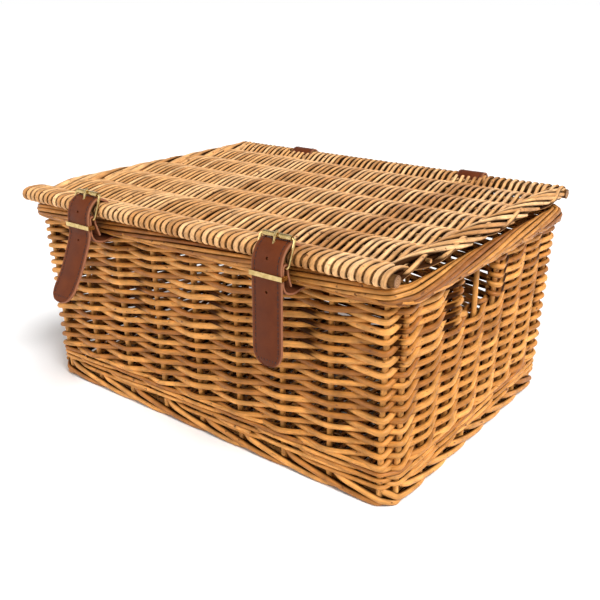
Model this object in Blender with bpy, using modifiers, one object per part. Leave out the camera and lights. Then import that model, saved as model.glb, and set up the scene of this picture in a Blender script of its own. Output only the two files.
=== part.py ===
"""Lidded willow picnic hamper, closed by two leather straps with brass roller buckles.

X runs along the hamper, the front faces -Y and Z is up. The origin is under the
middle of the base. All sizes are in metres.
"""

import math

import bmesh
import bpy
from mathutils import Matrix, Vector

HAMPER_NAME = "willow_picnic_hamper"
GAP = 0.0003

# Woven body: it leans outwards from the foot to the rim
BODY_LENGTH = 0.449
BODY_DEPTH = 0.322
FOOT_LENGTH = 0.439
FOOT_DEPTH = 0.311
RIM_TOP = 0.200
WALL_THICKNESS = 0.013
CORNER_CUT = 0.014

# Rolled border along the top and the foot
RIM_LENGTH = 0.460
RIM_DEPTH = 0.337
RIM_HEIGHT = 0.018
RIM_WIDTH = 0.016
FOOT_HEIGHT = 0.014
FOOT_WIDTH = 0.014

# Base and upright stakes
BASE_LIFT = 0.0025
BASE_THICKNESS = 0.012
BASE_STICK_PITCH = 0.090
STAKE_RADIUS = 0.0032
BASE_STICK_RADIUS = 0.0034

# Hand hole in each end wall, with one stake left standing in it
HAND_HOLE_MIDDLE = 0.0185
HAND_HOLE_WIDTH = 0.074
HAND_HOLE_BOTTOM = 0.141

# Lid: wrapped front and back sticks, thin inner sticks, a side border at each end
LID_STICK_Y = 0.168
LID_STICK_Z = 0.2085
LID_STICK_RADIUS = 0.008
LID_STICK_HALF_LENGTH = 0.222
LID_THICKNESS = 0.0146
LID_BORDER_WIDTH = 0.0155
LID_INNER_STICK_RADIUS = 0.0033
LID_INNER_STICK_PITCH = 0.056

# Leather straps and hinge loops
STRAP_X = 0.116
STRAP_HALF_WIDTH = 0.0153
STRAP_THICKNESS = 0.0024
CHAPE_HALF_WIDTH = 0.0150
CHAPE_THICKNESS = 0.0020
SLOT_HALF_WIDTH = 0.0163
SLOT_DEPTH = 0.0110

# Buckle
LOW_BAR = Vector((-0.1805, 0.2025))
ROLLER_BAR = Vector((-0.1715, 0.2245))
FRAME_HALF_WIDTH = 0.0172
FRAME_WIRE_RADIUS = 0.0013
FRAME_CORNER_RADIUS = 0.0025
ROLLER_RADIUS = 0.0024
ROLLER_HALF_LENGTH = 0.0142
PRONG_RADIUS = 0.0011
PRONG_RING_RADIUS = 0.0030
PRONG_SLOT_HALF_WIDTH = 0.0020
KEEPER_BOTTOM = 0.1935
KEEPER_HEIGHT = 0.0040
KEEPER_BAND = 0.0010
CHAPE_HINGE = Vector((-0.1625, 0.1797))
STRAP_HOLE_RADIUS = 0.0014

# Colours (linear), roughness and metallic share of each material
FINISHES = {
    "willow_weave": ((0.55, 0.27, 0.08), 0.55, 0.0),
    "willow_rod": ((0.60, 0.31, 0.11), 0.50, 0.0),
    "lid_willow": ((0.66, 0.37, 0.16), 0.50, 0.0),
    "leather": ((0.16, 0.045, 0.022), 0.50, 0.0),
    "brass": ((0.78, 0.60, 0.30), 0.28, 1.0),
}

LID_TOP = LID_STICK_Z + LID_THICKNESS / 2
LID_BOTTOM = LID_STICK_Z - LID_THICKNESS / 2
RIM_BOTTOM = RIM_TOP - RIM_HEIGHT
BASE_TOP = BASE_LIFT + BASE_THICKNESS


def clear_scene():
    """Removes every object, so that the script always starts from nothing."""
    for old in list(bpy.data.objects):
        bpy.data.objects.remove(old, do_unlink=True)


def make_collection(name):
    collection = bpy.data.collections.new(name)
    bpy.context.scene.collection.children.link(collection)
    return collection


def make_material(name):
    """A Principled material; every part gets its own copy, named after its finish."""
    colour, roughness, metallic = FINISHES[name]
    material = bpy.data.materials.new(name)
    material.use_nodes = True
    shader = material.node_tree.nodes["Principled BSDF"]
    shader.inputs["Base Color"].default_value = (*colour, 1.0)
    shader.inputs["Roughness"].default_value = roughness
    shader.inputs["Metallic"].default_value = metallic
    material.diffuse_color = (*colour, 1.0)
    return material


def add_part(name, mesh, finish, axis_empty=None):
    """Puts a mesh made in world coordinates into the scene, under its joint's empty."""
    part = bpy.data.objects.new(name, mesh)
    mesh.name = name
    mesh.materials.clear()
    mesh.materials.append(make_material(finish))
    PARTS.objects.link(part)
    if axis_empty is not None:
        part.parent = axis_empty
        part.matrix_parent_inverse = Matrix.Translation(-AXIS_PLACES[axis_empty.name])
    return part


def add_axis(name, place, parent=None):
    """An empty on a joint's axis, which the pieces that move about it hang from."""
    empty = bpy.data.objects.new(name, None)
    empty.empty_display_size = 0.02
    empty.location = place
    AXIS_PLACES[name] = Vector(place)
    PARTS.objects.link(empty)
    if parent is not None:
        empty.parent = parent
        empty.matrix_parent_inverse = Matrix.Translation(-AXIS_PLACES[parent.name])
    return empty


def mesh_from(bm, name):
    bmesh.ops.recalc_face_normals(bm, faces=bm.faces)
    mesh = bpy.data.meshes.new(name)
    bm.to_mesh(mesh)
    bm.free()
    return mesh


def box_mesh(name, low, high):
    """A box between two corners."""
    bm = bmesh.new()
    bmesh.ops.create_cube(bm, size=1.0)
    low, high = Vector(low), Vector(high)
    size = high - low
    bmesh.ops.scale(bm, vec=size, verts=bm.verts)
    bmesh.ops.translate(bm, vec=(low + high) / 2, verts=bm.verts)
    return mesh_from(bm, name)


def cylinder_mesh(name, start, end, radius, sides=16):
    """A round rod between two points."""
    start, end = Vector(start), Vector(end)
    run = end - start
    turn = run.to_track_quat("Z", "Y").to_matrix().to_4x4()
    bm = bmesh.new()
    bmesh.ops.create_cone(
        bm, cap_ends=True, segments=sides, radius1=radius, radius2=radius, depth=run.length
    )
    bmesh.ops.transform(bm, matrix=Matrix.Translation((start + end) / 2) @ turn, verts=bm.verts)
    mesh = mesh_from(bm, name)
    mesh.shade_smooth()
    mesh.set_sharp_from_angle(angle=math.radians(35))
    return mesh


def curve_mesh(curve):
    """Turns a curve into a welded mesh and removes the curve."""
    holder = bpy.data.objects.new(curve.name + "_curve", curve)
    bpy.context.scene.collection.objects.link(holder)
    bpy.context.view_layer.update()
    evaluated = holder.evaluated_get(bpy.context.evaluated_depsgraph_get())
    mesh = bpy.data.meshes.new_from_object(evaluated)
    bpy.data.objects.remove(holder, do_unlink=True)
    bpy.data.curves.remove(curve)
    bm = bmesh.new()
    bm.from_mesh(mesh)
    bpy.data.meshes.remove(mesh)
    bmesh.ops.remove_doubles(bm, verts=bm.verts, dist=0.00001)
    return mesh_from(bm, "from_curve")


def plate_mesh(name, outlines, low_z, high_z):
    """A flat plate between two heights; a second outline is a hole in the first."""
    curve = bpy.data.curves.new(name, "CURVE")
    curve.dimensions = "2D"
    curve.fill_mode = "BOTH"
    curve.extrude = (high_z - low_z) / 2
    for outline in outlines:
        spline = curve.splines.new("POLY")
        spline.points.add(len(outline) - 1)
        for point, (x, y) in zip(spline.points, outline):
            point.co = (x, y, 0.0, 1.0)
        spline.use_cyclic_u = True
    mesh = curve_mesh(curve)
    mesh.transform(Matrix.Translation((0.0, 0.0, (low_z + high_z) / 2)))
    return mesh


def wire_mesh(name, points, radius, closed=False, bevel_resolution=2):
    """A round wire through a list of points."""
    curve = bpy.data.curves.new(name, "CURVE")
    curve.dimensions = "3D"
    curve.bevel_depth = radius
    curve.bevel_resolution = bevel_resolution
    curve.use_fill_caps = not closed
    spline = curve.splines.new("POLY")
    spline.points.add(len(points) - 1)
    for point, place in zip(spline.points, points):
        point.co = (*place, 1.0)
    spline.use_cyclic_u = closed
    mesh = curve_mesh(curve)
    mesh.shade_smooth()
    mesh.set_sharp_from_angle(angle=math.radians(50))
    return mesh


def lean(mesh):
    """Leans a straight-sided body mesh outwards from the foot to the rim."""
    for vertex in mesh.vertices:
        share = vertex.co.z / RIM_TOP
        vertex.co.x *= (FOOT_LENGTH + (BODY_LENGTH - FOOT_LENGTH) * share) / BODY_LENGTH
        vertex.co.y *= (FOOT_DEPTH + (BODY_DEPTH - FOOT_DEPTH) * share) / BODY_DEPTH
    return mesh


def cut_away(part, cutter_mesh):
    """Subtracts a mesh from a part with a Boolean that stays on it."""
    cutter = bpy.data.objects.new(part.name + "_cutter", cutter_mesh)
    cutter.hide_render = True
    cutter.display_type = "WIRE"
    CUTTERS.objects.link(cutter)
    cut = part.modifiers.new("cut", "BOOLEAN")
    cut.operation = "DIFFERENCE"
    cut.solver = "EXACT"
    cut.object = cutter


def smooth_path(points, steps=4):
    """Points on a smooth curve through the given (y, z) places (Catmull-Rom)."""
    places = [Vector(p) for p in points]
    ends = [2 * places[0] - places[1]] + places + [2 * places[-1] - places[-2]]
    path = []
    for a, b, c, d in zip(ends, ends[1:], ends[2:], ends[3:]):
        for step in range(steps):
            t = step / steps
            bend = (2 * a - 5 * b + 4 * c - d) * t**2 + (3 * b - a - 3 * c + d) * t**3
            path.append((2 * b + (c - a) * t + bend) / 2)
    path.append(places[-1])
    return path


def arc_path(centre, radius, start_degrees, end_degrees, steps):
    """Points on an arc in the YZ plane, counted from +Y towards +Z."""
    path = []
    for step in range(steps + 1):
        angle = math.radians(start_degrees + (end_degrees - start_degrees) * step / steps)
        path.append(Vector(centre) + radius * Vector((math.cos(angle), math.sin(angle))))
    return path


def strip_part(name, path, middle_x, half_width, thickness, axis_empty, closed=False, tip=0.0):
    """A leather strip that follows a (y, z) path; its last stretch may round to a tip."""
    left_to_go = [0.0]
    for near, far in zip(reversed(path[:-1]), reversed(path)):
        left_to_go.append(left_to_go[-1] + (far - near).length)
    left_to_go.reverse()
    bm = bmesh.new()
    rows = []
    for place, rest in zip(path, left_to_go):
        half = half_width
        if rest < tip:
            half *= 0.30 + 0.70 * math.sqrt(1.0 - (1.0 - rest / tip) ** 2)
        ends = (middle_x - half, middle_x + half)
        rows.append([bm.verts.new((x, place[0], place[1])) for x in ends])
    following = rows[1:] + rows[:1] if closed else rows[1:]
    for near, far in zip(rows, following):
        bm.faces.new((near[0], near[1], far[1], far[0]))
    mesh = mesh_from(bm, name)
    mesh.shade_smooth()
    part = add_part(name, mesh, "leather", axis_empty)
    solidify = part.modifiers.new("thickness", "SOLIDIFY")
    solidify.thickness = thickness
    solidify.offset = 0.0
    solidify.use_even_offset = True
    return part


def make_base():
    """The woven base panel and the sticks that it is woven on."""
    half_x = FOOT_LENGTH / 2 - FOOT_WIDTH - GAP
    half_y = FOOT_DEPTH / 2 - FOOT_WIDTH - GAP
    low, high = (-half_x, -half_y, BASE_LIFT), (half_x, half_y, BASE_TOP)
    panel = add_part("base_panel", box_mesh("base_panel", low, high), "willow_weave")
    stick_z = (BASE_LIFT + BASE_TOP) / 2
    for name, row in (("front", -1), ("middle", 0), ("back", 1)):
        y = row * BASE_STICK_PITCH
        start, end = (-half_x, y, stick_z), (half_x, y, stick_z)
        stick = cylinder_mesh("base_stick", start, end, BASE_STICK_RADIUS)
        add_part("base_stick_" + name, stick, "willow_rod")
        past = Vector((0.01, 0.0, 0.0))
        channel = cylinder_mesh(
            "channel", Vector(start) - past, Vector(end) + past, BASE_STICK_RADIUS + GAP
        )
        cut_away(panel, channel)


def border_ring(prefix, length, depth, width, low_z, high_z, finish, leaning):
    """Four bars that make a border: long ones with cut corners, short ones between."""
    half_x, half_y = length / 2, depth / 2
    inner = half_y - width
    long_bar = [
        (-half_x + CORNER_CUT, -half_y),
        (half_x - CORNER_CUT, -half_y),
        (half_x, -half_y + CORNER_CUT),
        (half_x, -inner),
        (-half_x, -inner),
        (-half_x, -half_y + CORNER_CUT),
    ]
    short_low = (half_x - width, -inner + GAP, low_z)
    short_high = (half_x, inner - GAP, high_z)
    turn = Matrix.Rotation(math.pi, 4, "Z")
    meshes = {
        "front": plate_mesh(prefix, [long_bar], low_z, high_z),
        "back": plate_mesh(prefix, [long_bar], low_z, high_z),
        "right": box_mesh(prefix, short_low, short_high),
        "left": box_mesh(prefix, short_low, short_high),
    }
    meshes["back"].transform(turn)
    meshes["left"].transform(turn)
    for side, mesh in meshes.items():
        if leaning:
            lean(mesh)
        add_part(prefix + "_" + side, mesh, finish)


def stake_places():
    """Where the eight corner stakes stand, before the walls lean."""
    places = {}
    along_x = BODY_LENGTH / 2 - CORNER_CUT - 0.0025
    along_y = BODY_DEPTH / 2 - CORNER_CUT - 0.0050
    middle = WALL_THICKNESS / 2
    for end, side_x in (("left", -1), ("right", 1)):
        for face, side_y in (("front", -1), ("back", 1)):
            corner = face + "_" + end + "_corner_stake"
            places[corner + "_a"] = (side_x * along_x, side_y * (BODY_DEPTH / 2 - middle))
            places[corner + "_b"] = (side_x * (BODY_LENGTH / 2 - middle), side_y * along_y)
    return places


def make_walls():
    """Four woven walls, the stakes in their corners, and the two hand holes."""
    low_z, high_z = FOOT_HEIGHT + GAP, RIM_BOTTOM - GAP
    half_x, half_y = BODY_LENGTH / 2, BODY_DEPTH / 2
    inner_y = half_y - WALL_THICKNESS
    cut_left = CORNER_CUT - WALL_THICKNESS
    long_wall = [
        (-half_x + CORNER_CUT, -half_y),
        (half_x - CORNER_CUT, -half_y),
        (half_x - cut_left, -inner_y),
        (-half_x + cut_left, -inner_y),
    ]
    side_low = (half_x - WALL_THICKNESS, -inner_y + GAP, low_z)
    side_high = (half_x, inner_y - GAP, high_z)
    turn = Matrix.Rotation(math.pi, 4, "Z")
    mirror = Matrix.Scale(-1.0, 4, (1.0, 0.0, 0.0))
    meshes = {
        "front": plate_mesh("wall", [long_wall], low_z, high_z),
        "back": plate_mesh("wall", [long_wall], low_z, high_z),
        "right": box_mesh("wall", side_low, side_high),
        "left": box_mesh("wall", side_low, side_high),
    }
    meshes["back"].transform(turn)
    meshes["left"].transform(turn)
    walls = {}
    for side, mesh in meshes.items():
        walls[side] = add_part(side + "_wall", lean(mesh), "willow_weave")
    for name, (x, y) in stake_places().items():
        stake = cylinder_mesh("stake", (x, y, low_z), (x, y, high_z), STAKE_RADIUS)
        add_part(name, lean(stake), "willow_rod")
        channel = cylinder_mesh("channel", (x, y, 0.0), (x, y, RIM_TOP), STAKE_RADIUS + GAP)
        side = name.split("_")[0] if name.endswith("_a") else name.split("_")[1]
        cut_away(walls[side], lean(channel))
    hole_low = (half_x - 0.04, HAND_HOLE_MIDDLE - HAND_HOLE_WIDTH / 2, HAND_HOLE_BOTTOM)
    hole_high = (half_x + 0.04, HAND_HOLE_MIDDLE + HAND_HOLE_WIDTH / 2, RIM_TOP)
    stake_x = half_x - WALL_THICKNESS / 2
    stake_low = (stake_x, HAND_HOLE_MIDDLE, HAND_HOLE_BOTTOM + GAP)
    stake_high = (stake_x, HAND_HOLE_MIDDLE, high_z)
    for side in ("right", "left"):
        hole = box_mesh("hand_hole", hole_low, hole_high)
        stake = cylinder_mesh("stake", stake_low, stake_high, STAKE_RADIUS)
        if side == "left":
            hole.transform(mirror)
            hole.flip_normals()
            stake.transform(mirror)
            stake.flip_normals()
        cut_away(walls[side], hole)
        add_part(side + "_hand_hole_stake", lean(stake), "willow_rod")
    return walls


def make_hinge_loops(back_wall):
    """Leather loops round the lid's back stick and the rim; the lid turns in them."""
    radius = LID_STICK_RADIUS + 0.0004 + CHAPE_THICKNESS / 2
    axis = Vector((LID_STICK_Y, LID_STICK_Z))
    inside_y = RIM_DEPTH / 2 - RIM_WIDTH - 0.0013
    bottom_z = RIM_BOTTOM - 0.0015
    fold = 0.0018
    path = arc_path(axis, radius, 0, 180, 10)
    path += [Vector((inside_y, RIM_TOP + 0.0015)), Vector((inside_y, bottom_z + fold))]
    path += arc_path((inside_y + fold, bottom_z + fold), fold, 205, 270, 2)
    outside_y = LID_STICK_Y + radius
    path += arc_path((outside_y - fold, bottom_z + fold), fold, 270, 350, 3)
    for side, x in (("left", -STRAP_X), ("right", STRAP_X)):
        name = side + "_hinge_loop"
        strip_part(name, path, x, CHAPE_HALF_WIDTH, CHAPE_THICKNESS, None, closed=True)
        low = (x - SLOT_HALF_WIDTH, 0.13, bottom_z - 0.0015)
        high = (x + SLOT_HALF_WIDTH, 0.19, RIM_TOP)
        cut_away(back_wall, box_mesh("notch", low, high))


def make_lid(lid_axis):
    """The lid panel on its inner sticks, between wrapped sticks and side borders."""
    border_x = LID_STICK_HALF_LENGTH - LID_BORDER_WIDTH
    half_y = LID_STICK_Y - LID_STICK_RADIUS - GAP
    half_x = border_x - GAP
    low, high = (-half_x, -half_y, LID_BOTTOM), (half_x, half_y, LID_TOP)
    panel = add_part("lid_panel", box_mesh("lid_panel", low, high), "lid_willow", lid_axis)
    for number in range(5):
        y = (number - 2) * LID_INNER_STICK_PITCH
        start, end = Vector((-half_x, y, LID_STICK_Z)), Vector((half_x, y, LID_STICK_Z))
        stick = cylinder_mesh("lid_stick", start, end, LID_INNER_STICK_RADIUS)
        add_part("lid_inner_stick_%d" % (number + 1), stick, "lid_willow", lid_axis)
        past = Vector((0.01, 0.0, 0.0))
        radius = LID_INNER_STICK_RADIUS + GAP
        cut_away(panel, cylinder_mesh("channel", start - past, end + past, radius))
    for side_x in (-1, 1):
        for side_y in (-1, 1):
            edge_y = side_y * (half_y + 0.01)
            slot_y = side_y * (half_y - SLOT_DEPTH)
            x = side_x * STRAP_X
            low = (x - SLOT_HALF_WIDTH, min(edge_y, slot_y), LID_BOTTOM - 0.01)
            high = (x + SLOT_HALF_WIDTH, max(edge_y, slot_y), LID_TOP + 0.01)
            cut_away(panel, box_mesh("slot", low, high))
    for name, side_y in (("lid_front_stick", -1), ("lid_back_stick", 1)):
        start = (-LID_STICK_HALF_LENGTH, side_y * LID_STICK_Y, LID_STICK_Z)
        end = (LID_STICK_HALF_LENGTH, side_y * LID_STICK_Y, LID_STICK_Z)
        stick = cylinder_mesh(name, start, end, LID_STICK_RADIUS, sides=24)
        add_part(name, stick, "lid_willow", lid_axis)
    for side, side_x in (("left", -1), ("right", 1)):
        near, far = side_x * border_x, side_x * LID_STICK_HALF_LENGTH
        low = (min(near, far), -half_y, LID_BOTTOM)
        high = (max(near, far), half_y, LID_TOP)
        border = box_mesh("lid_border", low, high)
        add_part("lid_border_" + side, border, "lid_willow", lid_axis)


def strap_tail(side):
    """Where the free end of a strap hangs: the right one straight, the left one proud."""
    if side == "right":
        return [(-0.1856, 0.1900), (-0.1858, 0.1600), (-0.1862, 0.1170)]
    return [(-0.1860, 0.1920), (-0.1905, 0.1760), (-0.2010, 0.1510), (-0.2170, 0.1270)]


def prong_path(middle_x):
    """The prong hooks round the low bar, rises through the strap and lies on the roller."""
    ring = arc_path(LOW_BAR, PRONG_RING_RADIUS, -150, 60, 9)
    arm = [
        (-0.1806, 0.2085),
        (-0.1801, 0.2125),
        (-0.1783, 0.2168),
        (-0.1762, 0.2213),
        (-0.1754, 0.2248),
        (-0.1743, 0.2271),
        (-0.1717, 0.2284),
    ]
    return [Vector((middle_x, p[0], p[1])) for p in ring + arm]


def frame_path(middle_x):
    """The buckle's wire: a rectangle with round corners, from low bar to roller bar."""
    rise = Vector((0.0, *(ROLLER_BAR - LOW_BAR)))
    up = rise.normalized()
    across = Vector((1.0, 0.0, 0.0))
    low = Vector((middle_x, *LOW_BAR))
    inset = FRAME_HALF_WIDTH - FRAME_CORNER_RADIUS
    corners = (
        (inset, FRAME_CORNER_RADIUS, -90),
        (inset, rise.length - FRAME_CORNER_RADIUS, 0),
        (-inset, rise.length - FRAME_CORNER_RADIUS, 90),
        (-inset, FRAME_CORNER_RADIUS, 180),
    )
    path = []
    for x, height, start in corners:
        for step in range(4):
            angle = math.radians(start + 30 * step)
            out = across * math.cos(angle) + up * math.sin(angle)
            path.append(low + across * x + up * height + out * FRAME_CORNER_RADIUS)
    return path


def make_roller(name, middle_x, axis_empty):
    """A brass tube that turns on the buckle's top bar."""
    bore = FRAME_WIRE_RADIUS + GAP
    start = Vector((middle_x - ROLLER_HALF_LENGTH, *ROLLER_BAR))
    end = Vector((middle_x + ROLLER_HALF_LENGTH, *ROLLER_BAR))
    past = Vector((0.002, 0.0, 0.0))
    tube = add_part(name, cylinder_mesh(name, start, end, ROLLER_RADIUS), "brass", axis_empty)
    cut_away(tube, cylinder_mesh("bore", start - past, end + past, bore))


def make_keeper(name, middle_x, layers, axis_empty):
    """A flat brass band round the strap and the front layer of the chape."""
    front, back = layers
    half = STRAP_HALF_WIDTH + 0.0004
    inner = [(-half, front), (half, front), (half, back), (-half, back)]
    outer = []
    for x, y in inner:
        outer_x = x + math.copysign(KEEPER_BAND, x)
        outer_y = y - KEEPER_BAND if y == front else y + KEEPER_BAND
        outer.append((outer_x, outer_y))
    mesh = plate_mesh(name, [outer, inner], KEEPER_BOTTOM, KEEPER_BOTTOM + KEEPER_HEIGHT)
    mesh.transform(Matrix.Translation((middle_x, 0.0, 0.0)))
    add_part(name, mesh, "brass", axis_empty)


def make_closure(side, middle_x, lid_axis):
    """One strap and buckle: the strap is the lid's, the buckle hangs on the body."""
    strap_axis = add_axis(side + "_strap_axis", (middle_x, -LID_STICK_Y, LID_STICK_Z), lid_axis)
    buckle_axis = add_axis(side + "_buckle_axis", (middle_x, *CHAPE_HINGE))
    prong_axis = add_axis(side + "_prong_axis", (middle_x, *LOW_BAR), buckle_axis)
    roller_axis = add_axis(side + "_roller_axis", (middle_x, *ROLLER_BAR), buckle_axis)
    keeper_place = (middle_x, LOW_BAR.x, KEEPER_BOTTOM)
    keeper_axis = add_axis(side + "_keeper_axis", keeper_place, buckle_axis)

    # the strap's fixed end lies under the lid and comes up behind the front stick
    anchor = smooth_path([
        (-0.1280, 0.1993),
        (-0.1465, 0.1993),
        (-0.1503, 0.2000),
        (-0.1532, 0.2032),
        (-0.1562, 0.2068),
        (-0.1588, 0.2113),
        (-0.1613, 0.2152),
        (-0.1640, 0.2173),
    ], 3)
    strip_part(
        side + "_strap_anchor", anchor, middle_x, STRAP_HALF_WIDTH, STRAP_THICKNESS, lid_axis
    )

    # the free part passes under the roller, over the low bar and down the front
    loop = CHAPE_THICKNESS / 2 + FRAME_WIRE_RADIUS + GAP
    front_y = LOW_BAR.x - loop
    strap_y = front_y - CHAPE_THICKNESS / 2 - GAP - STRAP_THICKNESS / 2
    over = [(-0.1650, 0.2180), (-0.1715, 0.2205), (-0.1765, 0.2190), (-0.1808, 0.2152)]
    over += [(-0.1842, 0.2092), (strap_y, LOW_BAR.y)]
    strap = strip_part(
        side + "_strap",
        smooth_path(over + strap_tail(side), 5),
        middle_x,
        STRAP_HALF_WIDTH,
        STRAP_THICKNESS,
        strap_axis,
        tip=0.016,
    )
    prong = prong_path(middle_x)
    cut_away(strap, wire_mesh("prong_hole", prong[9:], PRONG_RADIUS + 0.0005))
    for y, z in ((-0.1842, 0.2092), (-0.1858, 0.1815)):
        start, end = (middle_x, y - 0.006, z - 0.002), (middle_x, y + 0.006, z + 0.002)
        cut_away(strap, cylinder_mesh("strap_hole", start, end, STRAP_HOLE_RADIUS, 12))

    # the chape is folded over the low bar and goes into the weave under the rim
    back_y = LOW_BAR.x + loop
    fold = arc_path(LOW_BAR, loop, 0, 180, 8)
    back_layer = smooth_path([(-0.1735, 0.1858), (-0.1757, 0.1920), (back_y, 0.1990)], 3)
    front_layer = smooth_path([
        (front_y, 0.1990),
        (front_y, 0.1880),
        (-0.1800, 0.1823),
        (-0.1745, 0.1795),
        (-0.1685, 0.1788),
        (CHAPE_HINGE.x - GAP, CHAPE_HINGE.y),
    ], 3)
    chape = strip_part(
        side + "_chape",
        back_layer + fold + front_layer,
        middle_x,
        CHAPE_HALF_WIDTH,
        CHAPE_THICKNESS,
        buckle_axis,
    )
    slot_low = (middle_x - PRONG_SLOT_HALF_WIDTH, -0.19, 0.1976)
    slot_high = (middle_x + PRONG_SLOT_HALF_WIDTH, -0.17, 0.21)
    cut_away(chape, box_mesh("prong_slot", slot_low, slot_high))
    root = [Vector((CHAPE_HINGE.x + GAP, CHAPE_HINGE.y)), Vector((-0.156, 0.1800))]
    root += [Vector((-0.150, 0.1800)), Vector((-0.1445, 0.1795))]
    strip_part(side + "_chape_root", root, middle_x, CHAPE_HALF_WIDTH, CHAPE_THICKNESS, None)

    frame = wire_mesh("frame", frame_path(middle_x), FRAME_WIRE_RADIUS, closed=True)
    add_part(side + "_buckle_frame", frame, "brass", buckle_axis)
    make_roller(side + "_buckle_roller", middle_x, roller_axis)
    add_part(side + "_buckle_prong", wire_mesh("prong", prong, PRONG_RADIUS), "brass", prong_axis)
    keeper_front = strap_y - STRAP_THICKNESS / 2 - GAP
    keeper_back = front_y + CHAPE_THICKNESS / 2 + GAP
    make_keeper(side + "_strap_keeper", middle_x, (keeper_front, keeper_back), keeper_axis)


def notch_front_wall(front_wall):
    """Lets each chape into the weave, just under the rim."""
    for x in (-STRAP_X, STRAP_X):
        low = (x - SLOT_HALF_WIDTH, -0.19, CHAPE_HINGE.y - 0.0017)
        high = (x + SLOT_HALF_WIDTH, -0.13, RIM_TOP)
        cut_away(front_wall, box_mesh("notch", low, high))


def main():
    make_base()
    border_ring(
        "foot", FOOT_LENGTH, FOOT_DEPTH, FOOT_WIDTH, 0.0, FOOT_HEIGHT, "willow_rod", False
    )
    walls = make_walls()
    notch_front_wall(walls["front"])
    border_ring(
        "rim", RIM_LENGTH, RIM_DEPTH, RIM_WIDTH, RIM_BOTTOM, RIM_TOP, "willow_rod", False
    )
    make_hinge_loops(walls["back"])
    lid_axis = add_axis("lid_axis", (0.0, LID_STICK_Y, LID_STICK_Z))
    make_lid(lid_axis)
    for side, middle_x in (("left", -STRAP_X), ("right", STRAP_X)):
        make_closure(side, middle_x, lid_axis)


clear_scene()
AXIS_PLACES = {}
PARTS = make_collection(HAMPER_NAME)
CUTTERS = make_collection("cutters")
main()
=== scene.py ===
"""The looks of the willow picnic hamper: every rod, strap and buckle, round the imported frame."""

import math

import bmesh
import bpy
import numpy as np
from mathutils import Matrix, Vector


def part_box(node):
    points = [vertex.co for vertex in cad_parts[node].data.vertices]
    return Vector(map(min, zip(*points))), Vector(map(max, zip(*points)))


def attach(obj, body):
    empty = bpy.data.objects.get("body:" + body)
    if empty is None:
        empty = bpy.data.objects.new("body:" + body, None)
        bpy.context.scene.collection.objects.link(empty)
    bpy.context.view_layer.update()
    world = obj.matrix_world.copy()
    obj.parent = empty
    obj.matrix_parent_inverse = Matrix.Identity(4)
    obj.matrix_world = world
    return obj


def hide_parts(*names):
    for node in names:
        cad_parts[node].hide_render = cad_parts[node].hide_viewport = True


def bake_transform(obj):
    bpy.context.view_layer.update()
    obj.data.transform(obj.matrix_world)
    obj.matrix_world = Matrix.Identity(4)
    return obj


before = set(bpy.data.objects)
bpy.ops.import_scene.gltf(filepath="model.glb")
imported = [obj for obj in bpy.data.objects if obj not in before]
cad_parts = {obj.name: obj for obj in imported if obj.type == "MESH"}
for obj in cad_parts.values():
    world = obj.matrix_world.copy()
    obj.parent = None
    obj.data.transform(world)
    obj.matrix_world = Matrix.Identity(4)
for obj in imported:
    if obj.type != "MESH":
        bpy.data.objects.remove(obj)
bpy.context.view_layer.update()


def middle_of(node):
    """Middle of a node's box, to a tenth of a millimetre."""
    low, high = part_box(node)
    return [round((a + b) / 2, 4) for a, b in zip(low, high)]


SIDES = 8  # corners in the section of a rod

# Where the upright stakes stand, counted round the basket from the front left corner
STAKE_PITCH_X = 0.0520
STAKE_PITCH_Y = 0.04057
HALF_WALL = 0.0068
MIDDLE_X = round(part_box("right_wall")[1][0] - HALF_WALL, 4)  # to the middle of an end wall
MIDDLE_Y = round(-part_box("front_wall")[0][1] - HALF_WALL, 4)  # to the middle of a long wall
FOOT_SCALE = (0.978, 0.966)  # how much narrower the basket is at the foot
TOP = round(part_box("rim_front")[1][2], 4)
STAKE_RADIUS = 0.0027
CORNER_X = 0.2080  # the corner stake of a long wall
CORNER_Y = 0.1420  # the corner stake of an end wall

# Heights of the bands of weaving
WALE_BOTTOM = 0.0185
WALE_ROWS = 6
WALE_PITCH = 0.0034
WALE_RADIUS = 0.0020
WEAVE_BOTTOM = 0.0375
WEAVE_TOP = 0.1815
ROWS = 29  # rows that each weaver climbs
INNER_LIFT = 0.0019  # how much higher a weaver lies behind a stake than in front of it
HOLE_BOTTOM = 0.1405

# Rim: middle and half sizes of the band of rods
RIM_OUT = 0.0048  # out from the wall's middle line
RIM_Z = middle_of("rim_front")[2] + 0.0003
RIM_WIDE = 0.0062
RIM_TALL = 0.0064
RIM_REACH = 6.3  # where a border rod ends, counted in stakes

# Base
BASE_Z = 0.0086
BASE_PITCH = 0.045  # between the base sticks

# Lid
LID_STICK_Y, LID_STICK_Z = middle_of("lid_back_stick")[1:]
LID_HALF_LENGTH = round(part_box("lid_back_stick")[1][0], 4)
LID_ROW_PITCH = 0.0071
LID_WRAP = 0.0063  # from the middle of a thick stick to the rods wound on it
LID_WAVE = 0.0040  # how far a weaver goes over and under the inner sticks
LID_LEAN = 0.00355  # how far a weaver leans sideways between them
LID_PITCH = 0.056  # between the inner sticks
LID_BORDER_X = 0.2130
LID_BORDER_PITCH = 0.0285  # between the starts of the border rods
LID_BORDER_REACH = 0.130  # length of a border rod

# Leather
STRAP_X = middle_of("right_strap")[0]
STRAP_HALF_WIDTH = 0.0153
STRAP_THICKNESS = 0.0024
STRAP_TIP = 0.0150  # length of the rounded tip
STRAP_FRONT_Y = -0.1785  # the strap hangs in front of this
STRAP_HOLES = (0.2086, 0.1815)  # heights of the two punched holes
HOLE_RADIUS = 0.0013
LOOP_HALF_WIDTH = 0.0150  # chapes and hinge leathers
LOOP_THICKNESS = 0.0020
GROOVE_INSET = 0.0036  # from the edge of a strip to its line of stitches
STITCH_PITCH = 0.0031
STITCH_RADIUS = 0.00062


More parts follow.
